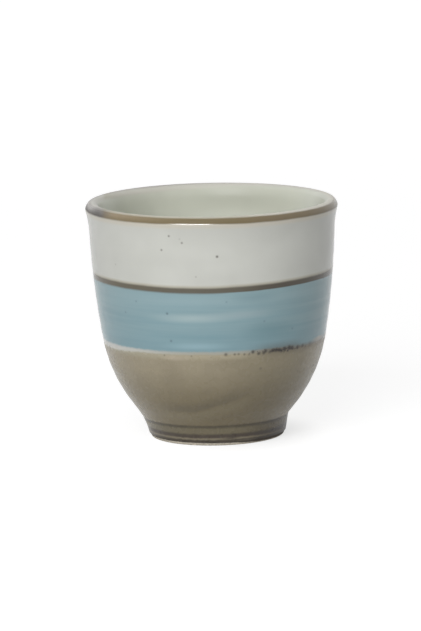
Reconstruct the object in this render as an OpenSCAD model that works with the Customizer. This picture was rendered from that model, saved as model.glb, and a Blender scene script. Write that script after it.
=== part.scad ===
// Yunomi: a footed tea cup of wheel-thrown stoneware, dressed in bands of glaze.
// The clay is a bowl with a foot ring luted under it. Each glaze is a coat of one
// thickness that lies on the clay and meets the next coat edge to edge.
//
// The section is drawn in the half plane of radius and height, as stations along the
// glazed face. A station is [point, normal]: the point lies on the face, the unit normal
// looks out of the ware, and the clay under a coat is the point moved in by coat_t.

/* [Cup] */
// Height from the table to the top of the lip
cup_h = 75.6; // [70:0.1:82]
// Widest diameter, across the lip
rim_d = 80; // [74:0.5:88]
// Thickness of the wall, coats included
wall_t = 3.8; // [3.2:0.1:5]
// Thickness of the floor, coats included
floor_t = 6; // [4.5:0.1:8]
// Thickness of every coat of glaze
coat_t = 0.4; // [0.3:0.05:0.7]

/* [Curves of the wall] */
// Radius of the long curve from the belly to the lip
wall_curve = 265; // [200:5:400]
// Height at which the long curve turns into the belly
belly_z = 32; // [27:0.5:37]
// Radius of the hollow where the floor turns up into the wall
floor_curve = 10; // [6:0.5:14]

/* [Lip] */
// How much thicker the rounded lip is than the wall
lip_swell = 0.6; // [0:0.1:0.7]
// How far the lip stands out from the wall
lip_overhang = 0.9; // [0.7:0.1:1.6]
// Lean of the wall where its flare runs into the lip, in degrees
flare_a = 14; // [9:0.5:20]

/* [Foot] */
// Diameter of the foot's glazed face, carried down to the table
foot_d = 43; // [38:0.2:46]
// Height of the notch between the bowl and the foot
foot_h = 7; // [5.5:0.1:9]
// Lean of the foot's outer face, in degrees
foot_a = 13; // [8:0.5:18]
// Thickness of the foot at the table, from its glazed face to the bare wall of the well
foot_t = 5; // [3.5:0.1:7]
// Lean of the well's wall, in degrees
well_a = 8; // [4:0.5:14]
// Radius of the hollow in the notch
notch_curve = 1.5; // [0.8:0.1:2.5]
// Radius of the two lower edges of the foot
edge_curve = 0.7; // [0.3:0.1:1]
// Radius of the glaze pooled in the corner of the well
pool_curve = 1.2; // [0.6:0.1:2.5]

/* [Bands of glaze] */
// Angle on the lip, from level, at which the brown rim starts, in degrees
rim_top_a = 58; // [30:1:80]
// Height of the upper edge of the brown line
line_z = 53.6; // [46:0.2:62]
// Width of the brown line
line_w = 2.1; // [1:0.1:4]
// Height of the lower edge of the blue band
blue_z = 32.5; // [24:0.2:42]
// Width of the pale edge under the blue band
pale_w = 1.2; // [0.6:0.1:3]
// Height at which the grey glaze ends on the foot
grey_end_z = 3.9; // [2.5:0.1:4.6]
// Height of the bare clay at the foot, outside
bare_z = 1.3; // [1:0.1:2]
// Height of the bare clay at the foot, in the well
well_bare_z = 2; // [1.2:0.1:3]

/* [Hidden] */
// Parts of the cup that can be drawn alone

// Facets of a turned part, steps along an arc, and the height of a step along the wall
turn_facets = 128;
arc_steps = 8;
wall_step = 2;

// Lip: a round bead whose outermost point is the rim
lip_r = (wall_t + lip_swell) / 2;
lip_c = [rim_d / 2 - lip_r, cup_h - lip_r];

// Long curve of the wall: it stands upright at the height of the lip
wall_c = [rim_d / 2 - lip_overhang - wall_curve, cup_h];
belly_a = asin((cup_h - belly_z) / wall_curve);
belly_normal = [cos(belly_a), -sin(belly_a)];
belly_top = wall_c + wall_curve * belly_normal;

// Belly curve: it leaves the long curve without a break and ends in the corner of the notch
notch_corner = [foot_d / 2 + foot_h * tan(foot_a), foot_h];
belly_chord = belly_top - notch_corner;
belly_curve = (belly_chord * belly_chord) / (2 * belly_chord * belly_normal);
belly_c = belly_top - belly_curve * belly_normal;

// Notch: a hollow that touches the belly curve at one end and the foot's face at the other
foot_normal = [cos(foot_a), -sin(foot_a)];
notch_reach = notch_curve + ([foot_d / 2, 0] - belly_c) * foot_normal;
notch_a = foot_a + acos(notch_reach / (belly_curve + notch_curve));
notch_c = belly_c + (belly_curve + notch_curve) * [cos(notch_a), -sin(notch_a)];
notch_mid_a = (notch_a + foot_a) / 2;
notch_top_z = notch_c.y + notch_curve * sin(notch_a);
notch_low_z = notch_c.y + notch_curve * sin(foot_a);

// Joint of bowl and foot ring: a flat face at the middle of the notch
joint_z = notch_c.y + (notch_curve + coat_t) * sin(notch_mid_a);

// Floor: level, and turned up into the wall by a hollow
floor_z = joint_z - coat_t + floor_t;
hollow_reach = belly_curve - wall_t - floor_curve;
hollow_a = asin((belly_c.y - floor_z - floor_curve) / hollow_reach);
hollow_c = belly_c + hollow_reach * [cos(hollow_a), -sin(hollow_a)];
hollow_top_z = hollow_c.y - floor_curve * sin(hollow_a);

// Radius of the wall at a height, and its lean, on a face set in from the outside
function on_wall(z, inset) = z > belly_z + inset * sin(belly_a);
function curve_of(z, inset) = (on_wall(z, inset) ? wall_curve : belly_curve) - inset;
function centre_of(z, inset) = on_wall(z, inset) ? wall_c : belly_c;
function body_lean(z, inset) = asin((centre_of(z, inset).y - z) / curve_of(z, inset));
function body_r(z, inset) = centre_of(z, inset).x + curve_of(z, inset) * cos(body_lean(z, inset));

// Flare of a face into the lip, as [start height, run, rise]: the rise grows with the
// square of the height, and the face ends along the lip's own tangent
function flare_of(inset, side) =
    let (
        end_z = lip_c.y + side * lip_r * sin(flare_a),
        rise = lip_c.x - side * lip_r * cos(flare_a) - body_r(end_z, inset),
        run = 2 * rise / (tan(flare_a) - tan(body_lean(end_z, inset)))
    )
    [end_z - run, run, rise];
outer_flare = flare_of(0, -1);
inner_flare = flare_of(wall_t, 1);
outer_top_z = outer_flare[0] + outer_flare[1];
inner_top_z = inner_flare[0] + inner_flare[1];

function flare_share(z, flare) = max(0, (z - flare[0]) / flare[1]);
function face_r(z, inset, flare) = body_r(z, inset) + flare[2] * pow(flare_share(z, flare), 2);
function face_lean(z, inset, flare) =
    atan(tan(body_lean(z, inset)) + 2 * flare[2] / flare[1] * flare_share(z, flare));

// Stations of the two faces of the wall, of the foot's outer face, and of an arc.
// An arc with a negative radius is a hollow.
function unit(angle) = [cos(angle), sin(angle)];
function outer_station(z) = [[face_r(z, 0, outer_flare), z], unit(-face_lean(z, 0, outer_flare))];
function inner_station(z) =
    [[face_r(z, wall_t, inner_flare), z], unit(180 - face_lean(z, wall_t, inner_flare))];
function foot_station(z) = [[foot_d / 2 + z * tan(foot_a), z], foot_normal];
function steps_between(from, to, steps) = [for (i = [0:steps]) from + (to - from) * i / steps];
function heights(from_z, to_z) = steps_between(from_z, to_z, max(2, ceil(abs(to_z - from_z) / wall_step)));
function outer_run(from_z, to_z) = [for (z = heights(from_z, to_z)) outer_station(z)];
function inner_run(from_z, to_z) = [for (z = heights(from_z, to_z)) inner_station(z)];
function foot_run(from_z, to_z) = [foot_station(from_z), foot_station(to_z)];
function arc_run(centre, radius, from_a, to_a) =
    [for (a = steps_between(from_a, to_a, arc_steps)) [centre + radius * unit(a), unit(a)]];
function tail(list) = [for (i = [1:len(list) - 1]) list[i]];

// Stretches of the section, one for each coat, in order from the middle of the floor,
// up the inside, over the lip and down the outside to the foot
liner_run = concat(
    [[[0, floor_z], unit(90)]],
    arc_run(hollow_c, -floor_curve, 90, 180 - hollow_a),
    tail(inner_run(hollow_top_z, inner_top_z)),
    tail(arc_run(lip_c, lip_r, 180 - flare_a, 90)),
    tail(arc_run(lip_c, lip_r, 90, rim_top_a)));
rim_run = concat(
    arc_run(lip_c, lip_r, rim_top_a, 0),
    tail(arc_run(lip_c, lip_r, 0, -flare_a)));
white_run = outer_run(outer_top_z, line_z);
line_run = outer_run(line_z, line_z - line_w);
blue_run = outer_run(line_z - line_w, blue_z);
pale_run = outer_run(blue_z, blue_z - pale_w);
grey_bowl_run = concat(
    outer_run(blue_z - pale_w, notch_top_z),
    tail(arc_run(notch_c, -notch_curve, -notch_a, -notch_mid_a)));
grey_foot_run = concat(
    arc_run(notch_c, -notch_curve, -notch_mid_a, -foot_a),
    tail(foot_run(notch_low_z, grey_end_z)));
wash_run = foot_run(grey_end_z, bare_z);

// Points on the glazed face of a stretch, and on the clay under it
function face_of(run) = [for (station = run) station[0]];
function clay_of(run) = [for (station = run) station[0] - coat_t * station[1]];
function reversed(points) = [for (i = [len(points) - 1:-1:0]) points[i]];

// Well under the cup: radius of its bare wall, and the bare edges of the foot
function well_r(z) = foot_d / 2 - foot_t - z * tan(well_a);
function edge_set_in(angle) = edge_curve * (1 - sin(angle)) / cos(angle);
outer_edge_c = [foot_d / 2 - coat_t / cos(foot_a) - edge_set_in(foot_a), edge_curve];
inner_edge_c = [well_r(0) + edge_set_in(well_a), edge_curve];
pool_z = joint_z - coat_t - pool_curve;
pool_c = [well_r(pool_z) - (coat_t + pool_curve) / cos(well_a), pool_z];

// A solid turned about the cup's axis from points of the half section
module turned(points) {
    rotate_extrude($fn = turn_facets) polygon(points);
}

// A coat of glaze along a stretch of the section
module coat(run) {
    turned(concat(face_of(run), reversed(clay_of(run))));
}

// Thrown bowl of bare clay, from the middle of the floor over the lip to the joint
module bowl() {
    section = concat(liner_run, tail(rim_run), tail(white_run), tail(line_run),
                     tail(blue_run), tail(pale_run), tail(grey_bowl_run));
    color([0.80, 0.76, 0.68]) turned(concat(clay_of(section), [[0, joint_z]]));
}

// Foot ring, luted to the flat underside of the bowl, with a bare standing edge
module foot_ring() {
    outside = clay_of(concat(grey_foot_run, tail(wash_run)));
    edges = concat(arc_run(outer_edge_c, edge_curve, -foot_a, -90),
                   arc_run(inner_edge_c, edge_curve, -90, well_a - 180));
    color([0.76, 0.71, 0.62]) turned(concat(outside, face_of(edges), [[well_r(joint_z), joint_z]]));
}

// Pale green-grey glaze of the inside, carried over the crest of the lip
module liner_glaze() {
    color([0.78, 0.80, 0.74]) coat(liner_run);
}

// Iron-brown rim round the outside of the lip
module rim_glaze() {
    color([0.53, 0.45, 0.33]) coat(rim_run);
}

// Grey-white band under the lip
module white_glaze() {
    color([0.80, 0.81, 0.79]) coat(white_run);
}

// Iron-brown line between the white band and the blue one
module brown_line() {
    color([0.39, 0.36, 0.29]) coat(line_run);
}

// Blue band round the middle
module blue_glaze() {
    color([0.51, 0.65, 0.69]) coat(blue_run);
}

// Pale edge where the blue glaze thins out
module pale_edge() {
    color([0.73, 0.71, 0.64]) coat(pale_run);
}

// Grey-brown glaze from the belly over the notch to the foot
module grey_glaze() {
    color([0.52, 0.48, 0.41]) coat(concat(grey_bowl_run, tail(grey_foot_run)));
}

// Dark iron wash round the foot, above its bare edge
module foot_wash() {
    color([0.36, 0.30, 0.24]) coat(wash_run);
}

// Glaze in the well under the cup, pooled in its corner
module well_glaze() {
    ceiling = [[0, joint_z], [well_r(joint_z), joint_z]];
    lower_edge = [[well_r(well_bare_z), well_bare_z],
                  [well_r(well_bare_z) - coat_t / cos(well_a), well_bare_z]];
    pool = face_of(arc_run(pool_c, pool_curve, well_a, 90));
    color([0.60, 0.57, 0.50]) turned(concat(ceiling, lower_edge, pool, [[0, joint_z - coat_t]]));
}

bowl();
foot_ring();
liner_glaze();
rim_glaze();
white_glaze();
brown_line();
blue_glaze();
pale_edge();
grey_glaze();
foot_wash();
well_glaze();
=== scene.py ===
# %% [markdown]
# # A yunomi tea cup
# A yunomi is a tea cup without a handle, thrown in stoneware and stood on a low foot ring.
# Its looks come from the glaze: a brown rim, a grey-white band, a brown line, a blue band and
# a grey-brown belly, laid on one after the other and melted together in the kiln.
# The construction is already done as exact solids, so this lesson starts by loading them as a
# fixed frame. Every piece made below stands for one of those solids and stays where it is.

import bpy
import numpy as np
from mathutils import Matrix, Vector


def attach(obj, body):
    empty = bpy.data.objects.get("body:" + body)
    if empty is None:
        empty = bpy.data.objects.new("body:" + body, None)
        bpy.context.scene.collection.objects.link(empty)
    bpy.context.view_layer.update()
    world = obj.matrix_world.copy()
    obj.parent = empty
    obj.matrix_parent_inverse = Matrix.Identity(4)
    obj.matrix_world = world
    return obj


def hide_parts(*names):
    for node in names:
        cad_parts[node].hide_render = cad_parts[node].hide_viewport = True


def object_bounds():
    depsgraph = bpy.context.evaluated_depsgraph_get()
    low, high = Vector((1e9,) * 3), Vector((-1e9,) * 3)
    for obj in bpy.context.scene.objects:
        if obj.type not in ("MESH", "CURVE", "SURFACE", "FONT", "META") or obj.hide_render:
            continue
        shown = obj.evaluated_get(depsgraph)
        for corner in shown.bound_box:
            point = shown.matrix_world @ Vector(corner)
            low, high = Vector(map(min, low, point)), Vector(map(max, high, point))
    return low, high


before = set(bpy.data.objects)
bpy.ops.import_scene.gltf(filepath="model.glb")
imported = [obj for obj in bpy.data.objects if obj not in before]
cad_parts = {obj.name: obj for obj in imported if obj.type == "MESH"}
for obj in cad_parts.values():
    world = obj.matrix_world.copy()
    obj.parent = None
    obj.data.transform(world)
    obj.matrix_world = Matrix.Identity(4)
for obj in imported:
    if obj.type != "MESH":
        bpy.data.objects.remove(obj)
cad_low, cad_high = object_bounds()
print("solids in the frame:", sorted(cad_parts))
print("box of the solids, in metres:", tuple(cad_low), tuple(cad_high))

# %% [markdown]
# ## The camera
# A product picture of a cup is taken from far away with a long lens, so that the rim's ellipse
# stays flat and the sides hardly converge. Blender's camera could be aimed by a constraint, but
# writing its three axes down as a matrix keeps the small roll of the picture exact.
# The camera slides sideways and up by a few pixels instead of using a lens shift, so the
# perspective stays the same from every side.

# %% Camera
PICTURE_WIDTH = 421
PICTURE_HEIGHT = 631
SENSOR_MM = 36.0
camera_distance = 1.5
camera_tilt = np.radians(9.56)
camera_roll = np.radians(1.365)
pixels_per_metre = 3145.0
aim_point = np.array([0.0, 0.0, 0.037])
aim_pixel = np.array([214.05, 318.84])


def new_object(name, data):
    """An object that shows a mesh, a lamp or a camera, added to the scene."""
    made = bpy.data.objects.new(name, data)
    bpy.context.scene.collection.objects.link(made)
    return made


def set_axes(thing, right, up, backward, place):
    """Set an object's matrix, whose columns are its three axes and its place."""
    axes = np.eye(4)
    axes[:3] = np.stack([right, up, backward, place], axis=1)
    thing.matrix_world = Matrix(axes.tolist())


level_right = np.array([1.0, 0.0, 0.0])
level_up = np.array([0.0, np.sin(camera_tilt), np.cos(camera_tilt)])
camera_back = np.array([0.0, -np.cos(camera_tilt), np.sin(camera_tilt)])
camera_right = np.cos(camera_roll) * level_right - np.sin(camera_roll) * level_up
camera_up = np.sin(camera_roll) * level_right + np.cos(camera_roll) * level_up
off_centre = (aim_pixel - np.array([PICTURE_WIDTH, PICTURE_HEIGHT]) / 2) / pixels_per_metre
camera_place = aim_point + camera_distance * camera_back
camera_place = camera_place - off_centre[0] * camera_right + off_centre[1] * camera_up

camera_data = bpy.data.cameras.new("camera")
camera_data.lens = pixels_per_metre * camera_distance * SENSOR_MM / PICTURE_HEIGHT
camera_data.sensor_width = SENSOR_MM
camera = new_object("camera", camera_data)
set_axes(camera, camera_right, camera_up, camera_back, camera_place)
bpy.context.scene.camera = camera
print("lens, in millimetres:", round(camera_data.lens, 1))

# %% [markdown]
# ## Small helpers for node trees
# A Blender material is a tree of nodes, and building one by hand takes many lines that say the
# same thing: make a node, set its fields, plug its inputs. These helpers each add one node and
# give back its output, so the recipes further down read like sums. An output knows the tree that
# it belongs to, as its id_data, so only the first nodes of a tree have to be told which it is.

# %% Node helpers
def tone(red, green, blue):
    """A colour as the eye reads it, 0 to 255, in the linear light that shaders work in: the
    sRGB curve, ((c + 0.055) / 1.055) ** 2.4, with its straight foot near black."""
    shown = np.array([red, green, blue]) / 255
    light = np.where(shown > 0.04045, ((shown + 0.055) / 1.055) ** 2.4, shown / 12.92)
    return (*light.tolist(), 1.0)


def add_node(tree, kind, feeds, port=0, **settings):
    """One node, whose type is ShaderNode and its kind in one word. Settings are its fields and feeds
    its inputs, each a value or another node's output. Back comes its own output at a port."""
    made = tree.nodes.new("ShaderNode" + kind)
    for field, value in settings.items():
        setattr(made, field, value)
    for name, value in feeds.items():
        if isinstance(value, bpy.types.NodeSocket):
            tree.links.new(value, made.inputs[name])
        else:
            made.inputs[name].default_value = value
    return made.outputs[port] if made.outputs else None


def sums(operation, first, second=0.0, third=0.0):
    """One sum of the Math node, such as MULTIPLY or MAXIMUM."""
    feeds = {0: first, 1: second, 2: third}
    return add_node(first.id_data, "Math", feeds, operation=operation)


def product(share, *others):
    """Several shares multiplied, so that only what all of them let through is left."""
    for other in others:
        share = sums("MULTIPLY", share, other)
    return share


def fade(value, start, end, low=0.0, high=1.0):
    """A smooth step from low, where value is start, to high, where it is end."""
    feeds = {"Value": value, "From Min": start, "From Max": end, "To Min": low, "To Max": high}
    return add_node(value.id_data, "MapRange", feeds, interpolation_type="SMOOTHSTEP")


def blend(share, under, over):
    """The colour over laid on the colour under, by a share from 0 to 1."""
    feeds = {0: share, 6: under, 7: over}
    return add_node(share.id_data, "Mix", feeds, 2, data_type="RGBA")


def stretched(place, factors):
    """A place multiplied axis by axis, to draw a pattern out along the other axes."""
    feeds = {0: place, 1: factors}
    return add_node(place.id_data, "VectorMath", feeds, operation="MULTIPLY")


def length(place):
    """How far a place lies from the origin."""
    return add_node(place.id_data, "VectorMath", {0: place}, "Value", operation="LENGTH")


def clouds(place, scale, detail=2.0):
    """Soft noise around one half, with scale spots to the unit of place."""
    feeds = {"Vector": place, "Scale": scale, "Detail": detail}
    return add_node(place.id_data, "TexNoise", feeds)


print("middle grey in linear light:", tone(128, 128, 128)[0])

# %% [markdown]
# ## White surround and floor
# The cup stands on a white table in a white room. White that comes from more light would burn
# out the pale glaze, so the light stays at a plain level and the white comes from the Light Path
# node: rays from the camera, and rays reflected by the glaze, meet white, while the rays that
# light the cup meet a softer grey. The floor adds a part of plain diffuse white to its glow, and
# that part keeps the shadow. A glow of one strength would leave the cup floating, so close to the
# foot, on the side away from the lamp, it dims by as much of the sky as the cup hides there. Far
# behind the cup, where the lamp's light thins out, it grows a little, which keeps the white even.
# Where the glaze mirrors the floor, the glow is weaker and the shadow fuller, because a mirrored
# glow would make the belly look lit from below.

# %% White surround
AMBIENT = 0.32
WHITE = (1.0, 1.0, 1.0, 1.0)


def seen_rays(tree):
    """1 for the rays that show a background: camera, glossy and transmission rays."""
    path = add_node(tree, "LightPath", {}).node.outputs
    mirrored = sums("MAXIMUM", path["Is Glossy Ray"], path["Is Transmission Ray"])
    return sums("MAXIMUM", path["Is Camera Ray"], mirrored)


def mixed(share, first, second):
    """Two shaders: the first where the share is 0, the second where it is 1."""
    return add_node(share.id_data, "MixShader", {0: share, 1: first, 2: second})


room = bpy.data.worlds.new("white_room")
room.use_nodes = True
room_tree = room.node_tree
room_tree.nodes.clear()
soft_grey = add_node(room_tree, "Background", {"Color": WHITE, "Strength": AMBIENT})
plain_white = add_node(room_tree, "Background", {"Color": WHITE, "Strength": 1.0})
seen_room = mixed(seen_rays(room_tree), soft_grey, plain_white)
add_node(room_tree, "OutputWorld", {"Surface": seen_room})
bpy.context.scene.world = room
bpy.context.scene.view_settings.view_transform = "Standard"
print("ambient level:", AMBIENT)

# %% White table
FLOOR_GLOW = 0.83
FLOOR_SHADE = (0.32, 0.32, 0.32, 1.0)
FLOOR_WHITE = (0.6, 0.6, 0.6, 1.0)
MIRROR_GLOW = 0.35
CONTACT_REACH = 0.015
CONTACT_DIM = 0.2
LAMP_SIDE = -0.02
FAR_SIDE = 0.03
LIFT_STARTS = 0.1
LIFT_ENDS = 1.3
FAR_LIFT = 0.07


def new_material(name):
    """A material, and its tree without any nodes."""
    made = bpy.data.materials.new(name)
    made.use_nodes = True
    made.node_tree.nodes.clear()
    return made, made.node_tree


def object_place(tree):
    """The place on an object, in metres from the middle of the cup's underside."""
    return add_node(tree, "TexCoord", {}, "Object")


def split(spot):
    """The three parts of a place: across, inward and up."""
    return add_node(spot.id_data, "SeparateXYZ", {0: spot}).node.outputs


def matt(tree, colour):
    """A plain diffuse surface."""
    return add_node(tree, "BsdfDiffuse", {"Color": colour})


def glowing(tree, strength, colour):
    """A glow, which no shadow can change, added to a diffuse part, which takes the shadow."""
    glow = add_node(tree, "Emission", {"Strength": strength})
    return add_node(tree, "AddShader", {0: glow, 1: matt(tree, colour)})


table_white, table = new_material("white_table")
table_across, table_away, _ = split(object_place(table))
open_sky = add_node(table, "AmbientOcclusion", {"Distance": CONTACT_REACH}, "AO")
hidden_sky = fade(open_sky, 1.0, 0.0, 0.0, CONTACT_DIM)
dimmed = product(hidden_sky, fade(table_across, LAMP_SIDE, FAR_SIDE))
far_glow = fade(table_away, LIFT_STARTS, LIFT_ENDS, FLOOR_GLOW, FLOOR_GLOW + FAR_LIFT)
seen_top = glowing(table, sums("SUBTRACT", far_glow, dimmed), FLOOR_SHADE)
plain_top = mixed(seen_rays(table), matt(table, FLOOR_WHITE), seen_top)
mirror_rays = add_node(table, "LightPath", {}, "Is Glossy Ray")
top_side = mixed(mirror_rays, plain_top, glowing(table, MIRROR_GLOW, WHITE))
from_below = add_node(table, "NewGeometry", {}, "Backfacing")
clear_side = add_node(table, "BsdfTransparent", {})
both_sides = mixed(from_below, top_side, clear_side)
add_node(table, "OutputMaterial", {"Surface": both_sides})
print("nodes in the table's material:", len(table.nodes))

# %% Floor
FLOOR_REACH = 6.0


def flat_sheet(name, corners, finish):
    """One face with four corners, for the studio round the cup."""
    mesh = bpy.data.meshes.new(name)
    mesh.from_pydata(corners.tolist(), [], [[0, 1, 2, 3]])
    mesh.materials.append(finish)
    return new_object(name, mesh)


floor_corners = FLOOR_REACH * np.array([[-1, -1, 0], [1, -1, 0], [1, 1, 0], [-1, 1, 0]])
floor = flat_sheet("floor", floor_corners, table_white)
print("floor reaches", FLOOR_REACH, "metres each way")

# %% [markdown]
# ## Two lamps
# One large soft box at the front left lights the cup. The glaze would show it as a bright square,
# so its reflection is switched off. A low strip lamp does the opposite: it lights nothing and only
# leaves the short highlight along the lip. One lamp could do both, but then the highlight could not
# be placed without changing the shading.

# %% Soft boxes
def outward_and_along(azimuth, elevation=0):
    """Two directions at a place round the cup: outward, (sin a cos e, -cos a cos e, sin e), and
    level along the cup's side. The azimuth is measured from the camera's side, to the right."""
    a, e = np.radians([azimuth, elevation])
    outward = np.array([np.sin(a) * np.cos(e), -np.cos(a) * np.cos(e), np.sin(e)])
    return outward, np.array([np.cos(a), np.sin(a), 0.0])


def soft_box(name, azimuth, elevation, distance, width, height, power):
    """A rectangular lamp on a sphere round the cup, facing it."""
    outward, sideways = outward_and_along(azimuth, elevation)
    lamp_data = bpy.data.lights.new(name, "AREA")
    lamp_data.shape = "RECTANGLE"
    lamp_data.size = width
    lamp_data.size_y = height
    lamp_data.energy = power
    lamp = new_object(name, lamp_data)
    set_axes(lamp, sideways, np.cross(outward, sideways), outward, aim_point + distance * outward)
    lamp.visible_camera = False
    print(name, "shines with", round(power / (np.pi * width * height), 2), "per area")
    return lamp


key_box = soft_box("key_box", azimuth=-20, elevation=30, distance=1.5, width=0.9, height=0.9, power=15.8)
key_box.visible_glossy = False
rim_strip = soft_box("rim_strip", azimuth=-18, elevation=3, distance=1.0, width=0.6, height=0.1, power=12.0)
rim_strip.visible_diffuse = False

# %% [markdown]
# ## A grey card
# In a white room the left edge of a glossy cup mirrors white and melts into the background. Studios
# stand a card just outside the picture, for the glaze to mirror instead. This one stands behind the
# cup on the left, grey at its foot and light at its top. Only reflections can see it, so it takes no
# light from the cup and throws no shadow.

# %% Grey card
CARD_DARK = 0.3
CARD_LIGHT = 0.9
card_azimuth = -146
card_distance = 0.9
card_width = 0.7
card_height = 0.24

card_away, card_along = outward_and_along(card_azimuth)
card_foot = card_distance * card_away + np.outer([-0.5, 0.5], card_width * card_along)
card_top = card_foot[::-1] + np.array([0.0, 0.0, card_height])
grey_paper, paper = new_material("grey_card")
card_level = split(object_place(paper))["Z"]
card_grey = fade(card_level, 0.0, card_height, CARD_DARK, CARD_LIGHT)
card_glow = add_node(paper, "Emission", {"Strength": card_grey})
add_node(paper, "OutputMaterial", {"Surface": card_glow})
card = flat_sheet("grey_card", np.concatenate([card_foot, card_top]), grey_paper)
card.visible_camera = False
card.visible_diffuse = False
card.visible_transmission = False
card.visible_shadow = False
print("the card stands", card_distance, "metres behind the cup, on the left")

# %% [markdown]
# ## The section of the cup
# A thrown cup is the same all round, so its shape is one line in the half plane of radius and
# height, turned about the axis. The line could be a Bezier curve drawn by eye. Here it is made of
# arcs that touch each other, as the solids are, with sizes in millimetres: a round lip, a flare,
# a long curve down the wall, the belly's tighter curve, a hollow notch and the leaning foot.

# %% Arcs
MM = 0.001
cup_height = cad_high.z / MM
rim_radius = cad_high.x / MM


def direction(degrees):
    """Unit vectors (cos a, sin a) for one angle or an array of them."""
    angle = np.radians(degrees)
    return np.stack([np.cos(angle), np.sin(angle)], axis=-1)


def arc(centre, radius, start, end, steps):
    """Points centre + radius (cos a, sin a), a running evenly from start to end. A negative
    radius draws the arc on the far side of its centre, which makes a hollow."""
    return centre + radius * direction(np.linspace(start, end, steps + 1))


print("the cup is", round(cup_height, 2), "high and", round(2 * rim_radius, 2), "across")

# %% Lip, wall and belly
wall_thickness = 3.8
lip_swell = 0.6
lip_overhang = 0.9
wall_curve = 265.0
belly_height = 32.0
foot_radius = 21.5
notch_height = 7.0
foot_lean = 13.0

lip_radius = (wall_thickness + lip_swell) / 2
lip_centre = np.array([rim_radius - lip_radius, cup_height - lip_radius])
wall_centre = np.array([rim_radius - lip_overhang - wall_curve, cup_height])
belly_angle = np.degrees(np.arcsin((cup_height - belly_height) / wall_curve))
belly_normal = direction(-belly_angle)
belly_top = wall_centre + wall_curve * belly_normal
notch_corner = np.array([foot_radius + notch_height * np.tan(np.radians(foot_lean)), notch_height])
belly_chord = belly_top - notch_corner
belly_curve = belly_chord @ belly_chord / (2 * belly_chord @ belly_normal)
belly_centre = belly_top - belly_curve * belly_normal


def body_radius(height, inset):
    """Radius of the thrown wall: centre + sqrt(curve^2 - (centre height - height)^2), on the long
    curve above the belly and on the belly's curve below, both set in by inset."""
    on_wall = np.asarray(height) > belly_height + inset * np.sin(np.radians(belly_angle))
    curve = np.where(on_wall, wall_curve, belly_curve) - inset
    drop = np.where(on_wall, wall_centre[1], belly_centre[1]) - height
    return np.where(on_wall, wall_centre[0], belly_centre[0]) + np.sqrt(curve**2 - drop**2)


print("the belly curves on a radius of", round(belly_curve, 2))

# %% Flare into the lip
flare_angle = 14.0
SLOPE_STEP = 0.01
OUTSIDE = -1
INSIDE = 1
STEP = 0.8


def flare_end(side):
    """Height at which a face runs into the lip: below its centre outside, above it inside."""
    return lip_centre[1] + side * lip_radius * np.sin(np.radians(flare_angle))


def flared_radius(height, inset, side):
    """Body radius plus rise * share^2, where share grows from 0 at the start of the flare to 1 at
    the lip. The run is twice the rise over the gap in slope, so the flare ends along the lip."""
    end = flare_end(side)
    lip_reach = side * lip_radius * np.cos(np.radians(flare_angle))
    rise = lip_centre[0] - lip_reach - body_radius(end, inset)
    slope = (body_radius(end, inset) - body_radius(end - SLOPE_STEP, inset)) / SLOPE_STEP
    run = 2 * rise / (np.tan(np.radians(flare_angle)) - slope)
    share = np.clip((height - end + run) / run, 0, None)
    return body_radius(height, inset) + rise * share**2


def heights_between(start, end, step=STEP):
    """Heights from start to end, about a step apart, and three of them at the least."""
    return np.linspace(start, end, max(2, round(abs(end - start) / step)) + 1)


def wall_line(start, end, inset, side, step=STEP):
    """Points down or up one face of the wall, between two heights."""
    heights = heights_between(start, end, step)
    return np.stack([flared_radius(heights, inset, side), heights], axis=1)


print("the flare ends at", np.round([flare_end(OUTSIDE), flare_end(INSIDE)], 2))

# %% Notch, foot and floor
notch_curve = 1.5
coat = 0.4
floor_thickness = 6.0
floor_curve = 10.0

foot_normal = direction(-foot_lean)
notch_reach = notch_curve + (np.array([foot_radius, 0]) - belly_centre) @ foot_normal
notch_angle = foot_lean + np.degrees(np.arccos(notch_reach / (belly_curve + notch_curve)))
notch_centre = belly_centre + (belly_curve + notch_curve) * direction(-notch_angle)
notch_middle = (notch_angle + foot_lean) / 2
notch_top = notch_centre[1] + notch_curve * np.sin(np.radians(notch_angle))
notch_low = notch_centre[1] + notch_curve * np.sin(np.radians(foot_lean))
joint_height = notch_centre[1] + (notch_curve + coat) * np.sin(np.radians(notch_middle))
floor_height = joint_height - coat + floor_thickness
hollow_reach = belly_curve - wall_thickness - floor_curve
hollow_angle = np.degrees(np.arcsin((belly_centre[1] - floor_height - floor_curve) / hollow_reach))
hollow_centre = belly_centre + hollow_reach * direction(-hollow_angle)
hollow_top = hollow_centre[1] - floor_curve * np.sin(np.radians(hollow_angle))


def foot_line(start, end):
    """Points down the foot's leaning face between two heights: radius + height * tan(lean)."""
    heights = heights_between(start, end)
    return np.stack([foot_radius + heights * np.tan(np.radians(foot_lean)), heights], axis=1)


print("bowl and foot ring meet at a height of", round(joint_height, 2))

# %% [markdown]
# ## One line for all the coats
# Each glaze is a coat on the clay, and each coat meets the next edge to edge. So the whole face is
# drawn as one line, from the middle of the floor, up the inside, over the lip and down to the
# foot, and cut where one glaze ends and the next begins. The distance along the line from the
# crest of the lip is kept as well: it tells every point how far down the cup it lies, which is
# what the paint will ask for.

# %% Stretches of the section
rim_top = 58.0
line_top = 53.6
line_width = 2.1
blue_low = 32.5
pale_width = 1.2
grey_low = 3.9
bare_edge = 1.3
fine_depth = 3.0
FINE_STEP = 0.1
LIP_STEPS = 40
RIM_STEPS = 28
HOLLOW_STEPS = 20
NOTCH_STEPS = 8
FLOOR_STEPS = 16

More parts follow.
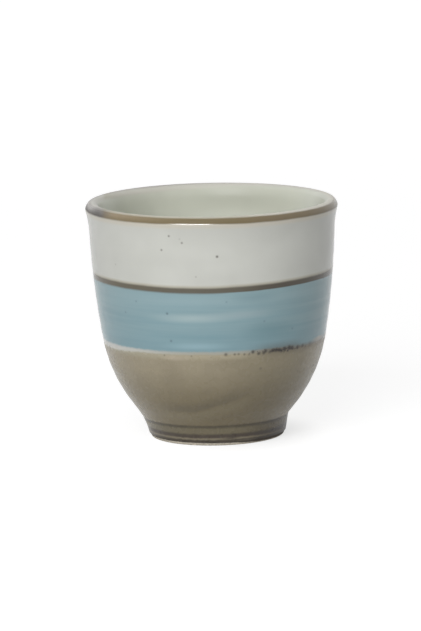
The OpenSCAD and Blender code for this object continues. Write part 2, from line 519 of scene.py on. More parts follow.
floor_line = np.linspace([0, floor_height], [hollow_centre[0], floor_height], FLOOR_STEPS + 1)
fine_low = flare_end(OUTSIDE) - fine_depth
stretches = {
    "liner": [
        floor_line,
        arc(hollow_centre, -floor_curve, 90, 180 - hollow_angle, HOLLOW_STEPS),
        wall_line(hollow_top, flare_end(INSIDE), wall_thickness, INSIDE),
        arc(lip_centre, lip_radius, 180 - flare_angle, rim_top, LIP_STEPS)],
    "rim": [arc(lip_centre, lip_radius, rim_top, -flare_angle, RIM_STEPS)],
    "white": [
        wall_line(flare_end(OUTSIDE), fine_low, 0, OUTSIDE, FINE_STEP),
        wall_line(fine_low, line_top, 0, OUTSIDE)],
    "line": [wall_line(line_top, line_top - line_width, 0, OUTSIDE)],
    "blue": [wall_line(line_top - line_width, blue_low, 0, OUTSIDE)],
    "pale": [wall_line(blue_low, blue_low - pale_width, 0, OUTSIDE)],
    "grey_bowl": [
        wall_line(blue_low - pale_width, notch_top, 0, OUTSIDE),
        arc(notch_centre, -notch_curve, -notch_angle, -notch_middle, NOTCH_STEPS)],
    "grey_foot": [
        arc(notch_centre, -notch_curve, -notch_middle, -foot_lean, NOTCH_STEPS),
        foot_line(notch_low, grey_low)],
    "wash": [foot_line(grey_low, bare_edge)],
}


def joined(lines):
    """Lines set end to end, each without its first point, which the line before it holds."""
    return np.concatenate([lines[0]] + [line[1:] for line in lines[1:]])


stretches = {name: joined(lines) for name, lines in stretches.items()}
section = joined(list(stretches.values()))
ends = np.cumsum([0] + [len(line) - 1 for line in stretches.values()])
spans = {name: slice(start, end + 1) for name, start, end in zip(stretches, ends[:-1], ends[1:])}
print("points along the section:", len(section))

# %% Distance down from the crest, and the normals
travel = np.concatenate([[0], np.cumsum(np.linalg.norm(np.diff(section, axis=0), axis=1))])
crest = int(np.argmax(section[:, 1]))
down = travel - travel[crest]
slope = np.gradient(section, travel, axis=0)
normals = np.stack([-slope[:, 1], slope[:, 0]], axis=1)
normals = normals / np.linalg.norm(normals, axis=1, keepdims=True)
outside = np.arange(len(section)) > crest


def down_at(height):
    """How far down the outside a height lies, read off the section."""
    return float(np.interp(-height, -section[outside, 1], down[outside]))


def radius_at(height):
    """Radius of the outside at a height, read off the section."""
    return float(np.interp(-height, -section[outside, 1], section[outside, 0]))


def down_on_lip(degrees):
    """How far from the crest an angle on the lip lies: lip radius times the angle from upright."""
    return float(lip_radius * np.radians(90 - degrees))


print("the line runs from", np.round(down[0], 1), "inside to", np.round(down[-1], 1), "at the foot")

# %% [markdown]
# ## Traces of the hand
# Fingers leave shallow rings in the wall while it spins, the thin iron glaze of the rim lies a
# little lower than the coats beside it, and glaze fills the notch on the side where it ran. A
# displacement texture could do this at render time. Adding it to the numbers instead keeps it in
# the mesh, and clay and coat take the same change, so they stay in touch.

# %% Angles round the cup
TURN_STEPS = 256
turn = np.linspace(0, 2 * np.pi, TURN_STEPS, endpoint=False)
azimuth = np.mod(turn + np.pi / 2, 2 * np.pi)


def bell(value, centre, reach):
    """The bell curve exp(-((value - centre) / reach)^2)."""
    return np.exp(-(((value - centre) / reach) ** 2))


def towards(degrees):
    """(1 + cos(azimuth - side)) / 2: 1 on the side that is named, 0 on the opposite one. Azimuth is
    0 at the front and grows to the right."""
    return (1 + np.cos(azimuth - np.radians(degrees))) / 2


print("angles to a turn:", TURN_STEPS)

# %% Relief
ring_depth = 0.03
ring_pitch = 5.5
ring_free_lip = 9.0
ring_free_axis = 14.0
iron_low = -3.0
iron_dip = 0.08
iron_dip_slope = 0.75
iron_dip_low = 22.0
coat_below_lip = 0.8
notch_fill = 0.45
notch_fill_reach = 2.2
notch_fill_side = -70.0

iron_starts = down_on_lip(rim_top)
iron_stops = down_on_lip(iron_low)


def throwing_rings(along, radius):
    """Depth times (sin(2 pi along / pitch + turn) - 1), so the rings climb as a screw and only cut
    in. They fade out towards the lip, whose size is fixed, and towards the axis."""
    off_lip = np.clip(np.abs(along) / ring_free_lip - 1, 0, 1)
    off_axis = np.clip(radius / ring_free_axis - 1, 0, 1)
    return ring_depth * off_lip * off_axis * (np.sin(2 * np.pi * along / ring_pitch + turn) - 1)


def eased(along, start):
    """A smooth step u^2 (3 - 2 u) from 0 to 1, which starts at a place along the line."""
    share = np.clip((along - start) / iron_dip_slope, 0, 1)
    return share**2 * (3 - 2 * share)


def rim_step(along):
    """A shallow dip round the lip, where the iron glaze lies thinner than the coats beside it. The
    coat below it rises again by a part of the dip, so nothing stands out from the lip."""
    rise = coat_below_lip * eased(along, down_on_lip(iron_dip_low))
    return -iron_dip * (eased(along, iron_starts) - rise)


def pooled_glaze(along):
    """A bell curve about the notch, strongest on the side where the glaze ran."""
    return notch_fill * bell(along, down_at(notch_height), notch_fill_reach) * towards(notch_fill_side)


relief = throwing_rings(down[:, None], section[:, :1]) + pooled_glaze(down[:, None])
relief = relief + rim_step(down[:, None])
print("relief runs from", np.round(relief.min(), 3), "to", np.round(relief.max(), 3), "mm")

# %% [markdown]
# ## From a section to a closed mesh
# The Spin tool or a Screw modifier would turn the section too, but both need their ends merged and
# their normals turned afterwards. With numpy the points are one grid of rows and angles, so the
# faces are the grid's own cells, wound so that they look outward, and the last column simply joins
# the first. A cup that was lifted off the wheel while wet is never quite true, so the lip sinks a
# little to the right and the foot sits a third of a millimetre off the middle.

# %% Points and faces of a turned skin
foot_shift = 0.35
lip_sink = 0.4
sink_starts = 50.0


def turned_points(radius, height):
    """Rows of radius and height carried round the axis: (r cos t, r sin t, z). The foot's shift
    grows from nothing at the notch to its full size at the table. The lip's sink, which is
    sink * (1 + x / rim radius) / 2, grows with the square of the height above its start."""
    shift = foot_shift * np.clip(1 - height / notch_height, 0, 1)
    across = radius * np.cos(turn) + shift * (radius > 0)
    share = np.clip((height - sink_starts) / (cup_height - sink_starts), 0, 1) ** 2
    sink = lip_sink * share * (1 + across / rim_radius) / 2
    return MM * np.stack([across, radius * np.sin(turn), height - sink], axis=-1)


def skin_faces(radius):
    """Four-sided faces and triangles as point numbers. Each row joins the next, and the last the
    first. A row on the axis counts as one point, so its faces are triangles, and two such rows
    have no face between them."""
    point = np.arange(radius.size).reshape(radius.shape)
    on_axis = radius.max(axis=1) == 0
    point[on_axis] = point[on_axis][:, :1]
    below = np.roll(point, -1, axis=0)
    cells = np.stack([point, below, np.roll(below, -1, axis=1), np.roll(point, -1, axis=1)], axis=-1)
    ends_on_axis = np.roll(on_axis, -1)
    fans = cells[on_axis & ~ends_on_axis][..., [0, 1, 2]]
    caps = cells[~on_axis & ends_on_axis][..., [0, 1, 3]]
    return cells[~on_axis & ~ends_on_axis].reshape(-1, 4), np.concatenate([fans, caps]).reshape(-1, 3)


def held_volume(mesh):
    """Volume of a closed mesh in cubic millimetres, from the sum of a . (b x c) / 6 over its
    triangles. It comes out above zero only if the faces look outward."""
    mesh.calc_loop_triangles()
    corners = np.zeros(3 * len(mesh.loop_triangles), int)
    mesh.loop_triangles.foreach_get("vertices", corners)
    places = np.zeros(3 * len(mesh.vertices))
    mesh.vertices.foreach_get("co", places)
    a, b, c = places.reshape(-1, 3)[corners].reshape(-1, 3, 3).transpose(1, 0, 2) / MM
    return np.sum(a * np.cross(b, c)) / 6


print("the foot sits", foot_shift, "mm off the middle, and the lip sinks by", lip_sink, "mm")

# %% [markdown]
# ## Where the brush went
# A band painted on a turning cup is never level: the brown line sways by a few tenths of a
# millimetre, three times in a turn, the blue edge hangs lower at the right, and the iron glaze of
# the rim creeps up the lip at the back left and ends a little higher at the front. The sway could
# be drawn as noise in the material, but then nobody could say where it goes. Here it is taken off
# each point's distance down the cup, and the result is kept with the mesh as an attribute called
# down, which the paint reads.

# %% Sway of the bands
line_sway = 0.3
line_sways_per_turn = 3
line_lowest = -5.0
line_sway_reach = 4.0
blue_hang = 0.6
blue_hang_side = 60.0
blue_hang_width = 22.0
blue_hang_reach = 3.0
rim_creep = 2.2
rim_creep_side = -145.0
rim_creep_low = 3.9
rim_creep_power = 3
rim_lift = 0.3
rim_lift_side = -8.0
rim_lift_width = 13.0
rim_lift_reach = 1.2


def bulge(side, width, along, middle, reach):
    """A bell curve round the cup, about a side and in degrees, times one along the line."""
    off_side = np.degrees(np.angle(np.exp(1j * (azimuth - np.radians(side)))))
    return bell(off_side, 0, width) * bell(along, middle, reach)


def sway(along):
    """How far the brush ran below the plain line, in mm, over rows and angles: a cosine for the
    brown line, a bulge at the right for the blue edge, and two rises for the rim, one at the back
    left and one at the front."""
    swings = line_sways_per_turn * (azimuth - np.radians(line_lowest))
    line_part = line_sway * np.cos(swings) * bell(along, down_at(line_top - line_width / 2), line_sway_reach)
    hang = bulge(blue_hang_side, blue_hang_width, along, down_at(blue_low), blue_hang_reach)
    creep_share = np.clip((rim_creep_low - along) / (rim_creep_low - iron_starts), 0, 1)
    creep = towards(rim_creep_side) ** rim_creep_power * creep_share
    lift = bulge(rim_lift_side, rim_lift_width, along, iron_stops, rim_lift_reach)
    return line_part + blue_hang * hang - rim_creep * creep - rim_lift * lift


print("the brown line sways by", line_sway, "mm")

# %% A piece of the cup
SHARP_ANGLE = np.radians(35)


def turned_piece(name, rows, rows_down, finish, node):
    """A closed skin from rows of radius and height, set in the frame in place of its solid."""
    radius, height = rows
    quads, triangles = skin_faces(radius)
    used, corners = np.unique(np.concatenate([quads.ravel(), triangles.ravel()]), return_inverse=True)
    faces = corners[:quads.size].reshape(-1, 4).tolist() + corners[quads.size:].reshape(-1, 3).tolist()
    mesh = bpy.data.meshes.new(name)
    mesh.from_pydata(turned_points(radius, height).reshape(-1, 3)[used].tolist(), [], faces)
    mesh.shade_smooth()
    mesh.set_sharp_from_angle(angle=SHARP_ANGLE)
    brushed = (rows_down[:, None] - sway(rows_down[:, None])).ravel()[used].astype(np.float32)
    mesh.attributes.new("down", "FLOAT", "POINT").data.foreach_set("value", brushed)
    mesh.materials.append(finish)
    piece = new_object(name, mesh)
    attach(piece, "root")
    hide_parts(node)
    print(name, "holds", round(held_volume(mesh)), "cubic mm in", len(mesh.loop_triangles), "triangles")


def lifted(span, depth):
    """Rows of radius and height of a stretch of the section: point + (relief - depth) * normal."""
    lift = relief[span] - depth
    return np.stack([section[span, axis, None] + normals[span, axis, None] * lift for axis in (0, 1)])


def coat_piece(name, start, end, finish, slot):
    """A coat of glaze: its face from the first stretch to the last, and the clay side back. Its
    solid has the same name as its slot."""
    span = slice(spans[start].start, spans[end].stop)
    rows = np.concatenate([lifted(span, 0), lifted(span, coat)[:, ::-1]], axis=1)
    rows_down = np.concatenate([down[span], down[span][::-1]])
    turned_piece(name, rows, rows_down, finish, slot)


print("a coat is", coat, "mm thick")

# %% [markdown]
# ## Paint along the section
# In the kiln the glazes melt into each other, so their edges soften and tear, and a crisp change
# of material at the edge of a mesh would look like tape. So one recipe paints the whole line from
# the inside to the foot, as a stack of colours that each start at a distance down from the crest.
# Every coat uses the same recipe, kept in a node group, and adds its own gloss.

# %% Where the paint is
RAGGED = 0.5
RAGGED_SCALE = 0.9
RIPPLE = 0.25
RIPPLE_SCALE = 0.12


def place_in_mm(tree):
    """The place on the cup in millimetres."""
    return stretched(object_place(tree), (1 / MM,) * 3)


paint = bpy.data.node_groups.new("cup_paint", "ShaderNodeTree")
paint.interface.new_socket("Colour", in_out="OUTPUT", socket_type="NodeSocketColor")
place = place_in_mm(paint)
across, inward, upward = split(place)
plain_down = add_node(paint, "Attribute", {}, "Fac", attribute_name="down")
ripple = sums("MULTIPLY_ADD", clouds(place, RIPPLE_SCALE), RIPPLE, -RIPPLE / 2)
ragged = sums("MULTIPLY_ADD", clouds(place, RAGGED_SCALE, detail=3), RAGGED, -RAGGED / 2)
brush_down = sums("ADD", plain_down, ripple)
torn_down = sums("ADD", brush_down, ragged)
print("edges ripple by up to", RIPPLE / 2, "mm and tear by up to", RAGGED / 2, "mm")

# %% Ways to lay a colour
LEFT_SIDE = -36
MIDDLE_STARTS = -4
MIDDLE_ENDS = 6
RIGHT_SIDE = 20
CLOUDS_LOW = 0.35
CLOUDS_HIGH = 0.65


def lay(under, over, edge, soft, along=brush_down):
    """The colour over laid on the colour under, from the edge downward. The change takes soft mm,
    which is a number or the output of a node."""
    past = sums("DIVIDE", sums("SUBTRACT", along, edge), soft)
    return blend(fade(past, -0.5, 0.5), under, over)


def from_left(left, middle, right):
    """A colour that changes from the cup's left side to its middle and on to its right side. Most bands
    also use it for painted light and shade: darker on the right, away from the lamp at the front left.
    """
    half = blend(fade(across, LEFT_SIDE, MIDDLE_STARTS), tone(*left), tone(*middle))
    return blend(fade(across, MIDDLE_ENDS, RIGHT_SIDE), half, tone(*right))


def mottled(first, second, pattern):
    """Two colours mixed by a pattern of clouds."""
    return blend(fade(pattern, CLOUDS_LOW, CLOUDS_HIGH), tone(*first), tone(*second))


print("colours change between", LEFT_SIDE, "and", RIGHT_SIDE, "mm across")

# %% Touches of colour
def dab(under, over, degrees, height, wide, tall, strength):
    """A touch of colour round a point on the outside, at an azimuth and a height: full at the
    middle, gone at one wide sideways or one tall up and down."""
    outward, _ = outward_and_along(degrees)
    spot = radius_at(height) * outward + np.array([0, 0, height])
    gap = add_node(paint, "VectorMath", {0: place, 1: spot.tolist()}, operation="SUBTRACT")
    away = length(stretched(gap, (1 / wide, 1 / wide, 1 / tall)))
    return blend(fade(away, 1.0, 0.0, 0.0, strength), under, over)


def dabs(under, touches):
    """One dab after the other, each a colour with its degrees, height, wide, tall and strength."""
    for shade, *touch in touches:
        under = dab(under, tone(*shade), *touch)
    return under


def specks(under, shade, spots):
    """Round dabs of one colour, each with its degrees, height, size and strength."""
    for degrees, height, size, strength in spots:
        under = dab(under, shade, degrees, height, size, size, strength)
    return under


print("the widest part of the outside is", round(radius_at(cup_height - lip_radius), 2), "mm from the axis")

# %% [markdown]
# ## Inside and rim
# The inside has a pale green-grey glaze that runs over the crest of the lip, where it thins to
# beige. Touches of painted light make it paler at both sides and low down at the back, and a touch of
# painted shade darkens it near the top of the back; the crest is painted lighter on the right, where
# the lamp catches it. The iron-brown rim is brushed round the outside of the lip only, darkest along
# its lower edge. It turns grey round the back, and at the left end the grey is a painted reflection
# of the white room, with one dark patch that is a painted reflection too. The white coat starts with
# a pale, warm line, since iron bleeds into its edge. Inside and outside are two stacks, joined at the
# crest at the very end, so that a touch of colour on the outside can't show through on the inside.

# %% Colours of inside and rim
inside_clouds = 0.07
crest_edge = down_on_lip(110)
brown_edge = iron_starts + 0.05
dark_edge = (iron_starts + iron_stops) / 2 + 0.2
# Painted reflection: the rim turns grey at its left end, where its glaze mirrors the white room.
reflection_at_left = (-33.2, -35)
grey_at_back = (8, 24)
# Painted light makes the inside paler at its left and right sides and low at the back; painted shade darkens
# it near the top of the back.
inside_light_and_shade = [
    ((184, 186, 173), 165, 71, 26, 8, 0.7), ((248, 250, 242), -105, 70, 17, 14, 1.0),
    ((236, 238, 230), 112, 69, 15, 12, 0.7), ((230, 232, 222), 170, 60, 22, 9, 0.5)]
# A dark patch near the left end of the lip and a pale one at its far left, both painted reflection.
rim_painted_reflections = [
    ((70, 65, 60), -64.5, 74.4, 10.5, 2.8, 0.88), ((196, 194, 190), -94, 73.2, 12, 3.2, 0.95)]
back_grey_and_reflection_share = sums("MAXIMUM", fade(across, *reflection_at_left), fade(inward, *grey_at_back))


def greyed_with_reflection(brown, grey):
    """A colour of the rim that turns grey round the back and, as a painted reflection, at its left end."""
    return blend(back_grey_and_reflection_share, brown, tone(*grey))


celadon = mottled((211, 213, 200), (205, 207, 194), clouds(place, inside_clouds))
celadon = dabs(celadon, inside_light_and_shade)
# Painted light: the crest is lighter on the right, where the lamp catches it. Painted reflection: both
# browns are paler towards the left end, and all three colours turn grey there.
crest_beige_and_light = greyed_with_reflection(from_left((190, 186, 168), (198, 195, 178), (214, 211, 198)), (208, 206, 196))
light_brown = greyed_with_reflection(from_left((150, 134, 106), (120, 107, 77), (120, 106, 79)), (176, 172, 166))
dark_brown = greyed_with_reflection(from_left((128, 114, 86), (112, 99, 68), (116, 102, 76)), (98, 92, 86))
bleed = tone(206, 201, 188)
inside_colour = lay(celadon, crest_beige_and_light, crest_edge, soft=1.2)
colour = lay(crest_beige_and_light, light_brown, brown_edge, soft=0.9)
colour = lay(colour, dark_brown, dark_edge, soft=1.6, along=torn_down)
colour = dabs(colour, rim_painted_reflections)
colour = lay(colour, bleed, iron_stops, soft=0.7)
print("iron glaze from", round(iron_starts, 2), "to", round(iron_stops, 2), "mm from the crest")

# %% [markdown]
# ## White band
# The band under the lip is a satin grey-white, a little green where it is thick. A single colour
# would look like plastic, so two near whites drift into each other in soft clouds.

# %% Colour of the white band
white_clouds = 0.06
white_edge = iron_stops + 1.2
grey_white = mottled((206, 207, 200), (201, 202, 195), clouds(place, white_clouds))
colour = lay(colour, grey_white, white_edge, soft=1.6)
print("white band from", round(iron_stops, 2), "mm down")

# %% [markdown]
# ## Brown line and blue band
# The line is iron pigment, brushed on while the cup turned: soft above, where it bled into the
# white, and sharp below, where the blue was laid over it. The blue band shows the broad brush in
# long level strokes, with one paler stroke left of the middle.

# %% Colours of brown line and blue band
line_starts = down_at(line_top)
line_stops = down_at(line_top - line_width)
line_bleed_edge = line_starts - 0.4
line_edge = line_starts + 0.25
blue_edge = line_stops - 0.1
edge_sharpens = (-2, 10)
edge_softness = (0.9, 0.4)
stroke_stretch = (0.015, 0.015, 0.6)
blue_paler = (42, 51)
blue_deeper = (42, 34)
blue_drift = 0.5
# The pale touch at -9 degrees, low in the band, is a painted highlight; the others are brush strokes.
blue_strokes_and_highlight = [
    ((168, 188, 190), -10, 43.4, 18, 2.2, 0.75), ((160, 180, 184), 13, 44.2, 16, 2.2, 0.6),
    ((100, 138, 146), 28, 38.5, 13, 4.5, 0.5), ((112, 144, 152), 20, 49.4, 12, 2.6, 0.4),
    ((160, 192, 202), -9, 34.4, 15, 1.7, 0.5), ((110, 148, 158), -8, 37.2, 20, 1.6, 0.35)]

line_brown = from_left((96, 89, 72), (92, 87, 74), (78, 71, 59))
line_bleed = tone(186, 182, 166)
line_soft = fade(across, *edge_sharpens, *edge_softness)
strokes = clouds(stretched(place, stroke_stretch), 1.0, detail=3)
blue = mottled((129, 160, 168), (137, 166, 173), strokes)
blue = blend(fade(upward, *blue_paler, 0.0, blue_drift), blue, tone(150, 175, 180))
blue = blend(fade(upward, *blue_deeper, 0.0, blue_drift), blue, tone(122, 156, 166))
colour = lay(colour, line_bleed, line_bleed_edge, soft=0.9)
colour = lay(colour, line_brown, line_edge, soft=0.9)
colour = lay(colour, blue, blue_edge, soft=line_soft)
colour = dabs(colour, blue_strokes_and_highlight)
print("brown line from", round(line_starts, 2), "to", round(line_stops, 2))

# %% [markdown]
# ## Pale edge and belly
# Under the blue the glaze thins to a pale edge, bright at the left and fuzzy further on, where iron
# clouds the blue above it too. The belly is a grey-brown, with painted shade that darkens it towards
# the foot, where it turns down, and on its right side, away from the lamp. Where two dips overlap, a
# faint seam crosses the front, level at the left and climbing to the right: darker above, where the
# glaze is thick, and lighter just below.

# %% Haze of iron above the pale edge
pale_starts = down_at(blue_low)
haze_reach = 2.8
haze_strength = 0.5
haze_grows = (9, 19)
haze_ends = (29, 24)
front_side = (0, -12)

at_front = fade(inward, *front_side)
haze_down = fade(brush_down, pale_starts - haze_reach, pale_starts, 0.0, haze_strength)
haze = product(haze_down, fade(across, *haze_grows), fade(across, *haze_ends), at_front)
colour = blend(haze, colour, tone(88, 88, 80))
print("pale edge from", round(pale_starts, 2), "mm down")

# %% Colours of pale edge and belly
belly_clouds = 0.09
belly_edge = pale_starts + 2.4
# Painted shade: the belly darkens towards the foot, where it turns down, and on its right side, away from
# the lamp.
belly_shade_grows = (30, 12)
taupe_shade_grows = (-2, 16)
taupe_shade_strength = 0.6
mist_narrows = (-34, -20)
mist_widths = (1.7, 0.9)
mist_blurs = (18, 27)
mist_softness = (1.0, 2.0)
belly_touches = [
    ((180, 168, 148), -21, 30.4, 6, 1.2, 0.7), ((172, 162, 144), 68, 27, 12, 7, 0.45),
    ((190, 178, 162), 67, 32.4, 6, 1.2, 0.7)]

taupe = mottled((157, 147, 124), (149, 139, 117), clouds(place, belly_clouds, detail=3))
# Painted shade on the right and towards the foot.
taupe = blend(fade(across, *taupe_shade_grows, 0.0, taupe_shade_strength), taupe, tone(136, 127, 103))
shaded_taupe = from_left((136, 125, 98), (118, 107, 81), (113, 102, 76))
belly = blend(fade(upward, *belly_shade_grows), taupe, shaded_taupe)
mist = from_left((206, 206, 200), (168, 167, 156), (118, 110, 96))
mist_soft = fade(across, *mist_blurs, *mist_softness)
mist_width = fade(across, *mist_narrows, *mist_widths)
warm_edge = from_left((166, 161, 141), (168, 159, 135), (128, 119, 99))
colour = lay(colour, mist, pale_starts, soft=mist_soft, along=torn_down)
colour = lay(colour, warm_edge, sums("ADD", mist_width, pale_starts), soft=0.9, along=torn_down)
colour = lay(colour, belly, belly_edge, soft=2.0, along=torn_down)
colour = dabs(colour, belly_touches)
print("belly from", round(belly_edge, 2), "mm down")

# %% Seam of two dips
seam_height = 12.0
seam_bend = -6.8
seam_climb = 0.32
seam_middle = -3.0
seam_fades = (16, 8)
seam_front = (0, -10)
thick_reach = 4.5
thick_strength = 0.55
thick_edge = (-0.5, 0.3)
thin_starts = (-0.2, -1.4)
thin_ends = (-5.5, -1.6)
thin_strength = 0.4

past_bend = sums("MAXIMUM", sums("SUBTRACT", across, seam_bend), 0.0)
level = sums("MULTIPLY_ADD", past_bend, -seam_climb, upward)
off_seam = sums("SUBTRACT", level, seam_height)
off_middle = sums("ABSOLUTE", sums("SUBTRACT", across, seam_middle))
at_seam = product(fade(off_middle, *seam_fades), fade(inward, *seam_front))
thick = fade(off_seam, thick_reach, 0.0, 0.0, thick_strength)
thick = product(thick, fade(off_seam, *thick_edge), at_seam)
thin = fade(off_seam, *thin_starts, 0.0, thin_strength)
thin = product(thin, fade(off_seam, *thin_ends), at_seam)
colour = blend(thick, colour, tone(96, 89, 72))
colour = blend(thin, colour, tone(140, 131, 106))
print("the seam climbs by", seam_climb, "mm for each mm to the right")

# %% [markdown]
# ## Foot
# On the foot the glaze runs out in bands: dark in the notch, lighter below it, a dark iron wash,
# a thin light line, and bare clay at the table. The notch's dark is partly glaze pooled in the hollow
# and partly painted shade, and every band is painted darker on the right, as shade away from the
# lamp. Each is laid on as the bands above were, and three touches break them up: two where the brush
# slipped, and a dark one at the right end, which is painted shade.

# %% Colours of the foot
notch_edge = notch_top - 0.3
foot_grey_top = 6.0
wash_light_top = 2.6
wash_edge_top = 2.0
# Notch, grey, wash, light line and lower edge: a band's colours at the left, in the middle and at the
# right, then the height where it starts, its softness and the line it follows. Every band is darker at
# the right as painted shade, and the notch's dark is partly painted shade in the hollow.
foot_bands = [
    ((74, 68, 52), (72, 65, 48), (62, 55, 42), notch_edge, 1.0, brush_down),
    ((112, 105, 84), (110, 102, 80), (88, 79, 60), foot_grey_top, 1.0, brush_down),
    ((60, 51, 40), (62, 52, 41), (46, 38, 31), grey_low, 0.9, torn_down),
    ((116, 107, 89), (126, 117, 98), (82, 73, 59), wash_light_top, 0.6, torn_down),
    ((68, 59, 46), (56, 48, 34), (46, 39, 32), wash_edge_top, 0.5, torn_down)]
# The last touch, dark at the right end of the foot, is painted shade; the other two are brush slips.
foot_touches_and_shade = [
    ((52, 44, 35), 11, 2.4, 4, 0.6, 0.7), ((112, 104, 88), 24, 1.5, 6, 0.5, 0.5),
    ((36, 30, 22), 74, 3.0, 9, 2.6, 0.6)]

for *shades, top, soft, along in foot_bands:
    colour = lay(colour, from_left(*shades), down_at(top), soft, along)
colour = dabs(colour, foot_touches_and_shade)
print("foot wash from", round(down_at(grey_low), 2), "to", round(down_at(bare_edge), 2))

# %% [markdown]
# ## Iron specks
# Grains of iron in the clay melt through the glaze as dark dots, a few on the bands and a crowd
# along the pale edge at the right. Those that can be told apart are dabs at places listed one by one.
# The finer grains between them are noise, cut off at a level that lets more through where the
# specks are dense.

# %% Single specks
SPECK_BROWN = tone(84, 78, 68)
SPECK_BLUE = tone(82, 106, 114)
SPECK_BLACK = tone(32, 26, 18)
white_specks = [
    (-20, 69.5, 0.6, 0.65), (-14, 67.4, 0.6, 0.65), (-24, 65, 0.6, 0.65), (2, 63, 0.7, 0.9)]
faint_specks = [(-15, 68.6, 0.5, 0.2), (-52, 59, 0.5, 0.25), (-8, 56.7, 0.5, 0.3)]
edge_specks = [
    (-26.5, 31.2, 0.5, 0.6), (-12, 31.2, 0.5, 0.6), (-2, 30.8, 0.4, 0.5), (5.5, 31.6, 0.9, 0.9),
    (10, 31.5, 0.7, 0.8), (12, 31.5, 0.7, 0.7), (15, 31.3, 0.7, 0.8), (17.5, 31.2, 0.7, 0.6),
    (22.5, 31.2, 0.8, 0.9), (24.5, 26.2, 0.8, 0.7), (3, 3.0, 0.5, 0.8)]
blue_specks = [
    (-23, 44.8, 0.7, 0.8), (-22, 36, 0.7, 0.6), (-40, 48, 0.6, 0.4), (-48, 44, 0.6, 0.4),
    (6, 48.5, 0.6, 0.3), (25, 41.5, 0.6, 0.4), (42, 38, 0.6, 0.4)]
crowd_specks = [
    (19.5, 31.9, 1.0, 0.9), (23, 31.3, 0.9, 0.6), (25.5, 31.3, 1.0, 0.8), (26.5, 31.8, 1.0, 0.9),
    (29, 31.3, 0.9, 0.7), (30.5, 31.7, 1.1, 0.9), (32.5, 31.6, 1.1, 0.9), (34.5, 31.6, 1.1, 1.0),
    (36, 31.3, 1.0, 0.9), (38, 31.7, 1.2, 1.0), (41, 31.9, 1.3, 1.0), (43, 31.7, 1.1, 1.0),
    (47, 31.5, 1.1, 0.9), (51, 31.6, 1.1, 0.7), (57.5, 31.5, 1.4, 0.4)]
brown_specks = white_specks + faint_specks + edge_specks
colour = specks(colour, SPECK_BROWN, brown_specks)
colour = specks(colour, SPECK_BLUE, blue_specks)
colour = specks(colour, SPECK_BLACK, crowd_specks)
print("single specks:", len(brown_specks + blue_specks + crowd_specks))

# %% Fine grains along the pale edge
crowd_scale = 1.7
crowd_side = 21.0
crowd_reach = 18.0
crowd_density = (-0.15, 0.1)
crowd_drops = (17, 22)
crowd_high = pale_starts + 0.4
crowd_low = pale_starts + 0.95
crowd_thinning = -0.25
crowd_cut = (0.57, 0.62)
crowd_ends = (31, 26)
crowd_faintest = 0.35
crest_join = 0.4

off_crowd = sums("ABSOLUTE", sums("SUBTRACT", across, crowd_side))
dense = fade(off_crowd, crowd_reach, 0.0, *crowd_density)
grains = sums("ADD", clouds(place, crowd_scale, detail=3), dense)
crowd_line = fade(across, *crowd_drops, crowd_high, crowd_low)
off_line = sums("SUBTRACT", brush_down, crowd_line)
grains = sums("MULTIPLY_ADD", sums("MULTIPLY", off_line, off_line), crowd_thinning, grains)
crowd_share = fade(across, *crowd_ends, crowd_faintest, 1.0)
crowd = product(fade(grains, *crowd_cut), crowd_share, at_front)
colour = blend(crowd, colour, SPECK_BLACK)
colour = lay(inside_colour, colour, crest_join, soft=0.3)
group_end = paint.nodes.new("NodeGroupOutput")
paint.links.new(colour, group_end.inputs["Colour"])
print("nodes in the paint:", len(paint.nodes))

# %% [markdown]
# ## Finishes
# Fired glaze is a thin glass over pigment: one colour from below, one clear reflection on top.
# The Principled shader does both, so a glaze takes the shared paint as its base colour and differs
# from the next only in how rough it is. Bare clay has no glass, only a sandy, matt grain, and at
# the foot's outer edge a stain where the wash ran over it.

# %% Glaze
BUMP_SCALE = 0.35
BUMP_HEIGHT = 0.02 * MM
GLOSS_LOW = 0.3
GLOSS_HIGH = 0.7


def surface(tree, tint, roughness, grain, depth):
    """The Principled shader with a colour, a roughness and a bump from a grain, as the result."""
    bump = add_node(tree, "Bump", {"Height": grain, "Distance": depth})
    feeds = {"Base Color": tint, "Roughness": roughness, "Normal": bump}
    shader = add_node(tree, "BsdfPrincipled", feeds)
    add_node(tree, "OutputMaterial", {"Surface": shader})


def glaze_finish(name, smooth, rough):
    """A glassy coat: the shared paint, a roughness that drifts between two values, and a skin that
    undulates by a few hundredths of a millimetre."""
    finish, tree = new_material(name)
    painted = add_node(tree, "Group", {}, node_tree=paint)
    skin = clouds(place_in_mm(tree), BUMP_SCALE)
    surface(tree, painted, fade(skin, GLOSS_LOW, GLOSS_HIGH, smooth, rough), skin, BUMP_HEIGHT)
    return finish


print("a glaze undulates by", BUMP_HEIGHT / MM, "mm")

# %% Clay
GRAIN_SCALE = 2.5
GRAIN_HEIGHT = 0.05 * MM
CLAY_ROUGHNESS = 0.85
WASH_STAIN = tone(60, 52, 42)
stain_drops = (4, 13)
stain_lows = (0.8, 0.35)
stain_grain = 0.6
stain_edge = (-0.35, -0.1)
stain_out = (20.2, 20.6)


def stained(spot, grain, tint):
    """The wash that ran over the clay at the foot's outer edge, lower on the right than on the left."""
    sideways, _, level = split(spot)
    out = length(stretched(spot, (1, 1, 0)))
    wash_low = fade(sideways, *stain_drops, *stain_lows)
    over_low = sums("SUBTRACT", level, sums("MULTIPLY_ADD", grain, stain_grain, wash_low))
    share = product(fade(over_low, *stain_edge), fade(out, *stain_out))
    return blend(share, tint, WASH_STAIN)


def clay_finish(name, first, second, washed):
    """Bare fired clay: two colours in fine grain, matt, with a sandy bump."""
    finish, tree = new_material(name)
    spot = place_in_mm(tree)
    grain = clouds(spot, GRAIN_SCALE, detail=4)
    tint = mottled(first, second, grain)
    tint = stained(spot, grain, tint) if washed else tint
    surface(tree, tint, CLAY_ROUGHNESS, grain, GRAIN_HEIGHT)
    return finish


